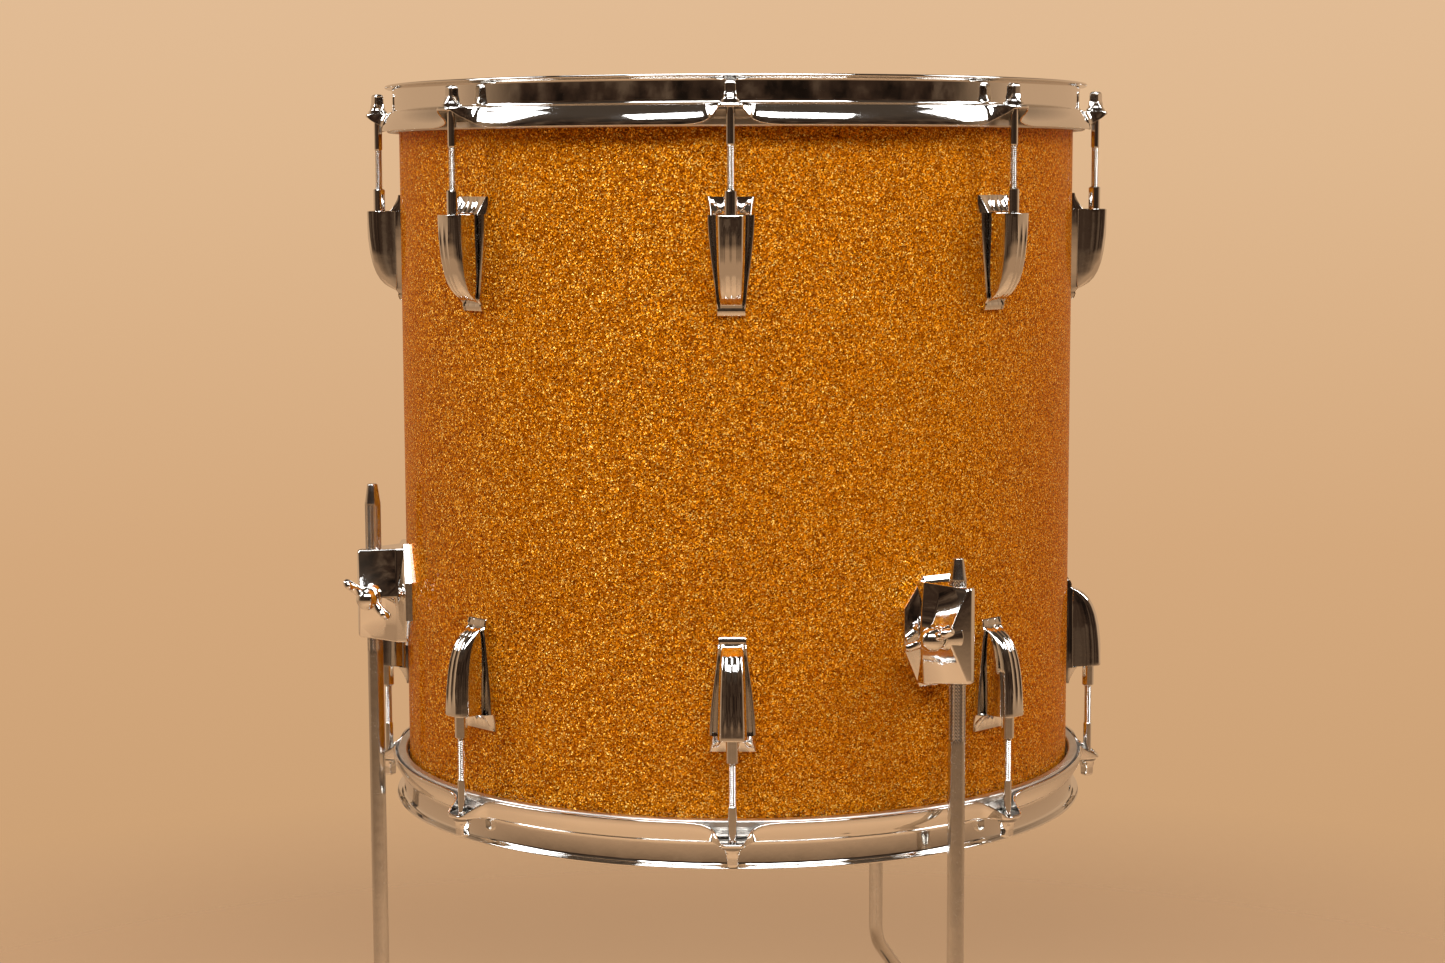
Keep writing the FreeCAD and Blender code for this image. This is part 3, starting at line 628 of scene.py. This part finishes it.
ROD_CHROME = chrome("rod_chrome", rough=0.07)
rod = rod_mesh()
paint(rod, ROD_CHROME)
out_to_rod = Matrix.Translation((ROD_R * MM, 0, 0))
for k in range(8):
    angle = LUG_STEP * k
    first = rod if k == 0 else None
    spin = Matrix.Rotation(math.radians(17 * ((k * 5) % 7)), 4, "Z")
    placed(first, on_shell(angle) @ out_to_rod @ spin, f"batter_tension_rod_{k + 1}",
           f"batter_rod_{k + 1}", f"batter_rod_{k + 1}", slot="rod_chrome", data=rod.data)
    placed(None, on_shell(angle) @ UPSIDE_DOWN @ out_to_rod @ spin,
           f"resonant_tension_rod_{k + 1}", f"resonant_rod_{k + 1}",
           f"resonant_rod_{k + 1}", slot="rod_chrome", data=rod.data)


# ---------------------------------------------------------------- leg brackets

WING_TILT = 13.0
BRACKET_LEVEL = -88.3


def bevelled(obj, width, segments=3, angle=20):
    """Round an object's sharp edges and keep the result as its mesh."""
    for edge in obj.data.edges:
        edge.use_edge_sharp = False
    settle(obj, obj.modifiers.new("edges", "BEVEL"), width=width * MM, segments=segments,
           limit_method="ANGLE", angle_limit=math.radians(angle))
    return settle(obj, obj.modifiers.new("flats", "WEIGHTED_NORMAL"))


def join(target, *others):
    """Put the others' meshes into the target's, and remove them."""
    bm = bmesh.new()
    for obj in (target, *others):
        bm.from_mesh(obj.data)
    for obj in others:
        bpy.data.objects.remove(obj)
    mesh = bpy.data.meshes.new(target.name)
    bm.to_mesh(mesh)
    bm.free()
    target.data = mesh
    return target


def bracket_plate():
    """Eight-sided plate with a wide bevel and a shallow recess along the barrel."""
    outline = round_profile([
        (-10.5, 30.75), (-23.0, 14.0), (-23.0, -9.0), (-12.5, -30.75), (12.5, -30.75),
        (20.5, -10.0), (20.5, 13.0), (11.0, 30.75)], 2.2, 3)
    outline = np.array(outline)
    centre = np.array([-1.5, 0.0])
    reach = np.linalg.norm(outline - centre, axis=1, keepdims=True)
    rings = []
    for inset, radius in ((0.0, 200.6), (0.0, 204.0), (0.25, 204.6), (0.8, 205.0),
                          (2.4, 205.9), (7.0, 208.15), (7.7, 208.35), (8.5, 208.2),
                          (9.4, 207.9), (10.6, 207.7)):
        line = centre + (outline - centre) * (1 - inset / reach)
        rings.append([(radius if radius > 202 else math.sqrt(202.05 ** 2 - t * t), t, z)
                      for t, z in line])
    bm = bmesh.new()
    add_grid(bm, np.array(rings), loop_columns=True, cap_first=True, cap_last=True)
    return finish_mesh("plate", bm, 24)


def bracket_barrel():
    """Faceted casting for the leg: long hexagonal outer facet and scooped flanks."""
    bm = bmesh.new()
    half = 26.6
    sections = []
    for level in (-1.0, -0.94, -0.72, -0.48, -0.24, 0.0, 0.24, 0.48, 0.72, 0.94, 1.0):
        z = half * level
        swell = 1 - abs(level)
        inset = 0.8 if abs(level) == 1 else 0.0
        hollow = 0.0
        if level > 0 and swell < 0.87:
            hollow = 1.9 * math.sin(math.pi * min(1.0, swell * 1.15))
        splay = 1.8 * level if abs(level) > 0.9 else 0.0
        sections.append([
            (203.2, -14.2 - 2.2 * swell, z + splay), (209.5, -13.2 - 3.2 * swell, z + splay),
            (216.5, -8.9 - 6.8 * swell + hollow, z + splay * 0.6),
            (224.5, -4.2 - 10.6 * swell + hollow * 0.8, z + splay * 0.2),
            (231.4 - inset, 0.0 - 13.6 * swell, z), (232.0 - inset, 2.0, z),
            (230.5 - inset, 5.0, z), (227.2, 7.8 - inset, z),
            (214.0, 10.6 - inset, z + splay * 0.5), (203.2, 12.6 - inset, z + splay)])
    add_grid(bm, np.array(sections), loop_columns=True, cap_first=True, cap_last=True)
    return bevelled(finish_mesh("barrel", bm, 16), 2.0, 4, 13)


def bracket_boss():
    """Round boss for the wing screw, along -Y and leaning outward."""
    bm = bmesh.new()
    turned(bm, round_profile([(0, 6), (9.6, 6), (7.4, 13.4), (6.2, 15.4), (3.3, 15.4),
                              (3.3, 13.8), (0, 13.8)], 0.9), 48)
    boss = finish_mesh("boss", bm, 30)
    boss.data.transform(wing_axis())
    return boss


def wing_axis():
    """Matrix from a piece built along +Z to the wing screw's axis in the bracket."""
    lean = Matrix.Rotation(math.radians(WING_TILT), 4, "Z")
    return (Matrix.Translation((LEG_R * MM, 0, 0)) @ lean
            @ Matrix.Rotation(math.radians(90), 4, "X"))


BRACKET_CHROME = chrome("bracket_chrome", rough=0.05)
bracket = join(bracket_plate(), bracket_barrel(), bracket_boss())
paint(bracket, BRACKET_CHROME)


def wing_mesh():
    """Wing screw built along +Z from the leg's axis: stem, collar, ball and two paddles."""
    bm = bmesh.new()
    ball = [(6.78 * math.sin(a), 22 + 6.78 * math.cos(a))
            for a in np.linspace(0, math.radians(136), 22)]
    turned(bm, ball + [(4.5, 16.6), (4.4, 16.0), (3.0, 16.0), (3.0, 5.8), (2.3, 5.1), (0, 5.1)],
           56)
    for way in (-1, 1):
        rings = []
        for w in np.linspace(0, 1, 15):
            out = 3.5 + 13.7 * w
            rise = 21.6 + 1.6 * w + 3.0 * w ** 2
            half = 4.3 - 1.5 * math.sin(math.pi * min(1.0, w * 1.2)) + 0.3 * w
            thick = 2.8 - 0.3 * math.sin(math.pi * w)
            end = math.sqrt(max(0.0, 1 - max(0.0, (w - 0.72) / 0.28) ** 2))
            half, thick = half * max(end, 0.02), thick * max(end, 0.02)
            lean = 0.55 * w
            ring = []
            for a in np.linspace(0, 2 * math.pi, 28, endpoint=False):
                u = math.copysign(abs(math.cos(a)) ** 0.75, math.cos(a)) * half
                v = math.copysign(abs(math.sin(a)) ** 0.75, math.sin(a)) * thick
                ring.append((way * (out - u * math.sin(lean)), v, rise + u * math.cos(lean)))
            rings.append(ring)
        add_grid(bm, np.array(rings), loop_columns=True, cap_first=True, cap_last=True)
    return finish_mesh("wing_screw", bm, 50)


WING_CHROME = chrome("wing_chrome", rough=0.06)
wing = wing_mesh()
paint(wing, WING_CHROME)
WING_TURN = {"left": -40.0, "right": 23.0, "rear": 25.0}
for name, angle in LEGS.items():
    first = name == "left"
    place = on_shell(angle, BRACKET_LEVEL)
    if name == "left":
        place = place @ UPSIDE_DOWN
    placed(bracket if first else None, place, f"leg_bracket_cast_{name}", "drum_shell",
           f"leg_bracket_{name}", slot="bracket_chrome", data=bracket.data)
    spin = Matrix.Rotation(math.radians(WING_TURN[name]), 4, "Z")
    placed(wing if first else None, place @ wing_axis() @ spin, f"wing_screw_cast_{name}",
           f"wing_screw_{name}", f"wing_screw_{name}", slot="wing_chrome", data=wing.data)


# ---------------------------------------------------------------- legs and feet

LEG_ROD = 4.72
KNURL_LONG = 90.0
BEND_LEVEL = -363.0
BEND_R = 25.0
LEAN = math.radians(50)
LEG_OFFSET = 57.0
LEG_END = -519.0


def leg_path(top):
    """Centre line from the tip downward: (out, level, lean) stations."""
    stations = []
    for z in np.linspace(top - 11.5 - KNURL_LONG - 2, BEND_LEVEL, 30):
        stations.append((0.0, z, 0.0))
    side = BEND_R * (1 - math.cos(LEAN))
    down = BEND_R * math.sin(LEAN)
    run = (LEG_OFFSET - 2 * side) / math.sin(LEAN)
    for a in np.linspace(0, LEAN, 13)[1:]:
        stations.append((BEND_R * (1 - math.cos(a)), BEND_LEVEL - BEND_R * math.sin(a), a))
    low = BEND_LEVEL - 2 * down - run * math.cos(LEAN)
    for w in np.linspace(0, 1, 8)[1:]:
        stations.append((side + run * math.sin(LEAN) * w,
                         BEND_LEVEL - down - run * math.cos(LEAN) * w, LEAN))
    for a in np.linspace(LEAN, 0, 13)[1:]:
        stations.append((LEG_OFFSET - BEND_R * (1 - math.cos(a)),
                         low + BEND_R * math.sin(a), a))
    for z in np.linspace(low, LEG_END, 8)[1:]:
        stations.append((LEG_OFFSET, z, 0.0))
    return stations


def leg_mesh(top):
    """Rod with a tapered tip, a herringbone knurl pressed into it, and two bends."""
    bm = bmesh.new()
    around = 128
    zigzags = 8
    chevron_pitch = 1.9
    chevron_tall = 1.5
    angles = np.linspace(0, 2 * math.pi, around, endpoint=False)
    grid = []

    def ring(radius, out, z, lean=0.0):
        radius = np.broadcast_to(radius, angles.shape)
        along = radius * np.cos(angles)
        grid.append(np.stack([out + along * math.cos(lean), radius * np.sin(angles),
                              z + along * math.sin(lean)], axis=1))

    for depth, radius in ((0.0, 2.3), (0.25, 2.85), (0.7, 3.1), (6.0, 3.85), (10.8, 4.5),
                          (11.3, LEG_ROD)):
        ring(radius, 0, top - depth)
    start = top - 11.7
    for z in np.arange(0, KNURL_LONG, 0.38):
        fade = float(smooth(0, 1.2, z) * smooth(KNURL_LONG, KNURL_LONG - 1.2, z))
        turns = angles / (2 * math.pi) * zigzags
        zigzag = np.abs((turns % 1) - 0.5) * 2 * chevron_tall
        across = np.abs(((z / chevron_pitch + zigzag) % 1) - 0.5) * 2
        groove = np.clip(1 - across * 2.0, 0, 1)
        ring(LEG_ROD - 0.42 * groove * fade, 0, start - z)
    for out, z, lean in leg_path(top):
        ring(LEG_ROD, out, z, lean)
    ring(4.2, LEG_OFFSET, LEG_END)
    add_grid(bm, np.array(grid), loop_columns=True, cap_first=True, cap_last=True)
    return finish_mesh("leg", bm, 45)


def foot_mesh():
    """Rubber foot: ribbed block with a rounded sole and a lipped mouth for the leg."""
    bm = bmesh.new()
    side = [(0, 0), (11.6, 0), (12.6, 0.6), (13.0, 1.8), (13.0, 5.2), (12.4, 6.2)]
    for k in range(5):
        base = 8.2 + 5.4 * k
        out = 12.3 - 0.55 * k
        side += [(out - 1.1, base - 0.9), (out - 1.1, base + 0.9), (out - 0.35, base + 1.2),
                 (out, base + 1.6), (out, base + 3.1), (out - 0.35, base + 3.6)]
    side += [(9.3, 36.2), (9.0, 37.2), (8.3, 37.9), (6.4, 38.0), (5.6, 37.6), (4.78, 36.6),
             (4.78, 6.02), (0, 6.02)]
    turned(bm, side, 72)
    return finish_mesh("rubber_foot", bm, 40)


def rubber():
    n = Nodes("foot_rubber")
    at = n.place()
    grain = n.noise(at, 900, 3, 0.7).outputs[0]
    patch = n.noise(at, 60, 3, 0.6).outputs[0]
    colour = n.mix(n.remap(patch, 0.3, 0.75, 0, 1), (0.016, 0.016, 0.017, 1),
                   (0.05, 0.048, 0.045, 1))
    n.set(Base_Color=colour, Roughness=n.remap(grain, 0.2, 0.8, 0.55, 0.8),
          Normal=n.bump(grain, 0.5, 0.0002))
    return n.material


LEG_CHROME = chrome("leg_chrome", tint=(0.60, 0.58, 0.55), rough=0.17, wave=0.0001)
RUBBER = rubber()
foot = foot_mesh()
paint(foot, RUBBER)
for name, angle in LEGS.items():
    leg = leg_mesh(LEG_TOPS[name])
    paint(leg, LEG_CHROME)
    placed(leg, on_shell(angle) @ Matrix.Translation((LEG_R * MM, 0, 0)), f"bent_leg_{name}",
           f"leg_{name}", f"leg_{name}", slot="leg_chrome")
    stand = on_shell(angle, -525.0) @ Matrix.Translation(((LEG_R + LEG_OFFSET) * MM, 0, 0))
    placed(foot if name == "left" else None, stand, f"ribbed_foot_{name}", f"leg_{name}",
           f"rubber_foot_{name}", slot="foot_rubber", data=foot.data)


# ---------------------------------------------------------------- pieces that keep the CAD's shape

def drum_head(name, colour, clear):
    """Polyester film: sprayed coat with fine tooth, or milky clear film."""
    n = Nodes(name)
    at = n.place()
    tooth = n.voronoi(at, 1400).outputs["Distance"]
    cloud = n.noise(at, 14, 4, 0.6).outputs[0]
    marks = n.noise(n.vector("MULTIPLY", at, (60, 6, 60)), 5, 3, 0.7).outputs[0]
    shade = n.mix(n.remap(cloud, 0.3, 0.7, 0, 0.6), (*colour, 1),
                  (*[c * 0.86 for c in colour], 1))
    n.set(Base_Color=shade, Roughness=n.remap(marks, 0.3, 0.8, 0.15 if clear else 0.5,
                                              0.28 if clear else 0.75),
          Normal=n.bump(tooth, 0.1 if clear else 0.45, 0.00012))
    if clear:
        n.set(Transmission_Weight=0.6, IOR=1.5)
    return n.material


def maple():
    """Inside ply: pale maple with long grain running round the shell."""
    n = Nodes("shell_wood")
    at = n.place()
    wave = n.noise(n.vector("MULTIPLY", at, (7, 7, 120)), 3, 5, 0.65).outputs[0]
    pores = n.noise(n.vector("MULTIPLY", at, (60, 60, 1500)), 3, 2, 0.7).outputs[0]
    colour = n.ramp(wave, [(0.3, (0.42, 0.24, 0.10)), (0.5, (0.62, 0.41, 0.21)),
                           (0.72, (0.72, 0.52, 0.30))])
    n.set(Base_Color=n.mix(n.remap(pores, 0.45, 0.75, 0, 0.5), colour, (0.25, 0.13, 0.05, 1)),
          Roughness=n.remap(pores, 0.3, 0.7, 0.35, 0.55), Normal=n.bump(pores, 0.2, 0.0002))
    return n.material


kept = {
    "shell": maple(),
    "batter_head_film": drum_head("coated_film", (0.80, 0.79, 0.74), False),
    "resonant_head_film": drum_head("clear_film", (0.86, 0.86, 0.84), True),
    "batter_washers": brushed("washer_steel", (0.70, 0.69, 0.67), 0.16),
    "batter_swivel_nuts": chrome("nut_chrome", rough=0.09),
    "lug_screws": brushed("screw_steel", (0.55, 0.54, 0.52), 0.25),
    "vent_grommet": chrome("vent_chrome", rough=0.06),
}
for node, like in (("resonant_washers", "batter_washers"),
                   ("resonant_swivel_nuts", "batter_swivel_nuts"),
                   ("bracket_screws", "lug_screws")):
    kept[node] = kept[like]
for node, material in kept.items():
    paint(bpy.data.objects[node], material)


# ---------------------------------------------------------------- stage, light and camera

def stage_floor():
    """Pale floor that fades into the backdrop away from the feet."""
    bm = bmesh.new()
    reach = 1500
    thick = 5
    turned(bm, [(0, 0), (reach, 0), (reach, -thick), (0, -thick)], 128)
    floor = finish_mesh("studio_floor", bm)
    floor.location = (0, 0, FLOOR_Z)
    n = Nodes("studio_floor")
    away = n.vector("LENGTH", n.place())
    n.set(Base_Color=(0.50, 0.305, 0.16, 1), Roughness=0.9,
          Alpha=n.remap(away, 0.55, 1.3, 1.0, 0.0))
    paint(floor, n.material)


def soft_box(name, place, aim, width, height, power):
    """White rectangular light at a place, turned towards its aim; sizes in metres, watts."""
    light = bpy.data.lights.new(name, "AREA")
    light.shape = "RECTANGLE"
    light.size = width
    light.size_y = height
    light.energy = power
    obj = bpy.data.objects.new(name, light)
    obj.location = place
    obj.rotation_euler = (Vector(aim) - Vector(place)).to_track_quat("-Z", "Y").to_euler()
    bpy.context.collection.objects.link(obj)


def world_light():
    """Beige backdrop and floor all round, and a dim room in front and above."""
    world = bpy.data.worlds.new("studio")
    bpy.context.scene.world = world
    world.use_nodes = True
    n = Nodes.__new__(Nodes)
    n.tree = world.node_tree
    background = n.tree.nodes["Background"]
    split = n.add("ShaderNodeSeparateXYZ")
    towards = n.place("Generated")
    n.link(towards, split.inputs[0])
    y = split.outputs["Y"]
    z = split.outputs["Z"]
    seen = n.ramp(n.remap(z, -0.35, 0.15, 0, 1), [
        (0.0, (0.56, 0.325, 0.158)), (0.42, (0.66, 0.395, 0.205)), (0.72, (0.74, 0.48, 0.275)),
        (1.0, (0.78, 0.53, 0.33))])
    clutter = n.noise(n.vector("MULTIPLY", towards, (5, 5, 3)), 1.6, 3, 0.6).outputs[0]
    room = n.ramp(clutter, [(0.35, (0.010, 0.006, 0.004)), (0.52, (0.045, 0.024, 0.014)),
                            (0.66, (0.12, 0.075, 0.045))])
    behind = n.remap(y, -0.30, 0.25, 0, 1)
    round_about = n.mix(behind, room, (0.60, 0.38, 0.22, 1))
    above = n.remap(z, 0.25, 0.7, 0, 1)
    upper = n.mix(above, round_about, (0.07, 0.05, 0.035, 1))
    below = n.remap(z, -0.13, -0.28, 0, 1)
    lit = n.mix(below, upper, (0.44, 0.26, 0.14, 1))
    ray = n.add("ShaderNodeLightPath")
    n.link(n.mix(ray.outputs["Is Camera Ray"], lit, seen), background.inputs["Color"])


def camera():
    """Camera 1.58 m from the drum's axis, a little above its middle, looking slightly down."""
    away = 1.58123
    above_middle = 0.16087
    looking_down = 6.7434
    leaning = -0.19357
    round_angle = math.radians(0.732)
    turn = math.radians(0.316)
    data = bpy.data.cameras.new("camera")
    data.sensor_width = 36
    data.lens = 64.59
    cam = bpy.data.objects.new("camera", data)
    place = Vector((away * math.sin(round_angle), -away * math.cos(round_angle),
                    MID + above_middle))
    heading = Matrix.Rotation(round_angle + turn, 4, "Z")
    pitch = Matrix.Rotation(math.radians(90 - looking_down), 4, "X")
    roll = Matrix.Rotation(math.radians(leaning), 4, "Z")
    cam.matrix_world = Matrix.Translation(place) @ heading @ pitch @ roll
    bpy.context.collection.objects.link(cam)
    bpy.context.scene.camera = cam


stage_floor()
world_light()
soft_box("key", (0.1, -2.3, 2.1), (0, 0, -0.2), 3.6, 0.9, 128)
soft_box("right", (2.2, -0.2, 1.3), (0, 0, -0.2), 0.8, 1.2, 30)
soft_box("left", (-2.2, -0.2, 1.3), (0, 0, -0.2), 0.8, 1.2, 30)
soft_box("top", (-0.3, 0.4, 2.3), (0, 0, -0.2), 1.6, 1.2, 34)
camera()
bpy.context.scene.view_settings.view_transform = "Standard"
